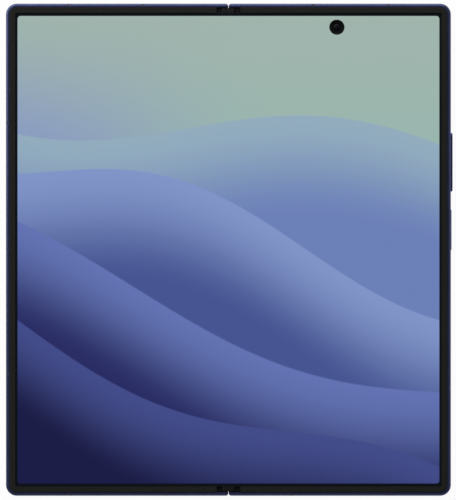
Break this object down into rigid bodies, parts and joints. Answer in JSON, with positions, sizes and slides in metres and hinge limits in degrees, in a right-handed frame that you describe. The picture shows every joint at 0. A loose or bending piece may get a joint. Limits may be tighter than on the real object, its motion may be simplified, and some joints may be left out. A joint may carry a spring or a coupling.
{
  "type": "foldable smartphone",
  "caption": "Book-style folding phone that opens flat: two painted metal halves, a geared hinge under a bending inner screen, side keys and a rear camera island.",
  "frame": {"origin": "midway between the two halves and between top and bottom, in the plane of their backs; the camera island reaches below it", "axes": "+X across the halves towards the side with the keys, +Y up the phone along the hinge, +Z out of the open inner screen"},
  "size_m": [0.1438, 0.1584, 0.0066],
  "materials": {
    "frame_paint": "satin navy, fine blasted texture under clear coat",
    "hinge_paint": "satin navy",
    "island_paint": "satin navy",
    "soft_black": "soft matte black",
    "hinge_black": "matte",
    "band_plastic": "matte",
    "folding_screen": "smooth laminated film over a lit display",
    "cover_black_glass": "polished",
    "rear_paint_glass": "satin etched",
    "lens_glass": "polished, coated",
    "flash_diffuser": "translucent",
    "hinge_steel": "machined",
    "part_steel": "drawn sheet",
    "cell_wrap": "pouch wrap",
    "board_green": "solder mask",
    "module_black": "moulded",
    "flex_amber": "polyimide film",
    "coil_copper": "wound wire"
  },
  "bodies": {
    "spine": {"hinge_cover": "hinge_paint", "hinge_end_caps": "hinge_black", "rotator_brackets": "hinge_steel", "gear_brackets": "hinge_steel", "gear_shafts": "hinge_steel", "friction_washers": "hinge_steel", "hinge_screws": "hinge_steel", "fold_screen_strip": "folding_screen", "hinge_flex_cable": "flex_amber"},
    "left_half": {"left_frame": "frame_paint", "left_bezel": "soft_black", "left_screen_panel": "folding_screen", "left_rotators": "hinge_steel", "left_arm_guides": "hinge_steel", "left_antenna_bands": "band_plastic", "left_magnets": "part_steel", "left_screws": "hinge_steel", "left_battery": "cell_wrap", "cover_glass": "cover_black_glass", "cover_display": "module_black", "cover_camera": "lens_glass", "sub_board": "board_green", "sub_board_shield": "part_steel", "card_reader": "part_steel", "earpiece": "module_black"},
    "right_half": {"right_frame": "frame_paint", "right_bezel": "soft_black", "right_screen_panel": "folding_screen", "right_rotators": "hinge_steel", "right_arm_guides": "hinge_steel", "right_antenna_bands": "band_plastic", "right_magnets": "part_steel", "right_screws": "hinge_steel", "right_battery": "cell_wrap", "rear_glass": "rear_paint_glass", "camera_island": "island_paint", "lens_rings": "island_paint", "lens_windows": "lens_glass", "rear_cameras": "module_black", "flash_window": "flash_diffuser", "inner_camera": "lens_glass", "main_board": "board_green", "board_shields": "part_steel", "charging_coil": "coil_copper", "top_speaker": "module_black", "bottom_speaker": "module_black", "charging_socket": "part_steel", "haptic_motor": "part_steel", "key_switches": "module_black", "microphones": "part_steel"},
    "left_arms": {"left_arms": "hinge_steel"},
    "right_arms": {"right_arms": "hinge_steel"},
    "left_idlers": {"left_idler_gears": "hinge_steel"},
    "right_idlers": {"right_idler_gears": "hinge_steel"},
    "left_wing": {"left_wing": "hinge_steel"},
    "right_wing": {"right_wing": "hinge_steel"},
    "volume_key": {"volume_key": "frame_paint"},
    "power_key": {"power_key": "frame_paint"},
    "card_tray": {"card_tray": "frame_paint"}
  },
  "joints": [
    {"name": "fold_right", "type": "hinge", "parent": "spine", "child": "right_half", "pos_m": [0.00125, 0, 0.0032], "axis": [0, -1, 0], "range_deg": [0, 90], "deforming": ["fold_screen_strip", "hinge_flex_cable"]},
    {"name": "fold_left", "type": "hinge", "parent": "spine", "child": "left_half", "pos_m": [-0.00125, 0, 0.0032], "axis": [0, 1, 0], "range_deg": [0, 90]},
    {"name": "right_arm_turn", "type": "hinge", "parent": "spine", "child": "right_arms", "pos_m": [0.0018, 0, 0.0022], "axis": [0, -1, 0], "range_deg": [0, 90]},
    {"name": "left_arm_turn", "type": "hinge", "parent": "spine", "child": "left_arms", "pos_m": [-0.0018, 0, 0.0022], "axis": [0, 1, 0], "range_deg": [0, 90]},
    {"name": "right_idler_turn", "type": "hinge", "parent": "spine", "child": "right_idlers", "pos_m": [0.0006, 0, 0.0022], "axis": [0, -1, 0], "range_deg": [-90, 0]},
    {"name": "left_idler_turn", "type": "hinge", "parent": "spine", "child": "left_idlers", "pos_m": [-0.0006, 0, 0.0022], "axis": [0, -1, 0], "range_deg": [0, 90]},
    {"name": "right_wing_tilt", "type": "hinge", "parent": "right_half", "child": "right_wing", "pos_m": [0.0046, 0, 0.00332], "axis": [0, -1, 0], "range_deg": [0, 24]},
    {"name": "left_wing_tilt", "type": "hinge", "parent": "left_half", "child": "left_wing", "pos_m": [-0.0046, 0, 0.00332], "axis": [0, 1, 0], "range_deg": [0, 24]},
    {"name": "volume_rock", "type": "hinge", "parent": "right_half", "child": "volume_key", "pos_m": [0.0712, 0.0282, 0.0019], "axis": [0, 0, 1], "range_deg": [-1.4, 1.4], "stiffness_Nm_per_rad": 0.05},
    {"name": "power_press", "type": "slide", "parent": "right_half", "child": "power_key", "axis": [-1, 0, 0], "range_m": [0, 0.00015], "stiffness_N_per_m": 400},
    {"name": "card_tray_slide", "type": "slide", "parent": "left_half", "child": "card_tray", "axis": [-1, 0, 0], "range_m": [0, 0.024]}
  ],
  "couplings": [
    {"joint": "fold_left", "follows": "fold_right", "ratio": 1},
    {"joint": "right_arm_turn", "follows": "fold_right", "ratio": 1},
    {"joint": "left_arm_turn", "follows": "fold_right", "ratio": 1},
    {"joint": "right_idler_turn", "follows": "fold_right", "ratio": -1},
    {"joint": "left_idler_turn", "follows": "fold_right", "ratio": 1},
    {"joint": "right_wing_tilt", "follows": "fold_right", "ratio": 0.26},
    {"joint": "left_wing_tilt", "follows": "fold_right", "ratio": 0.26}
  ]
}
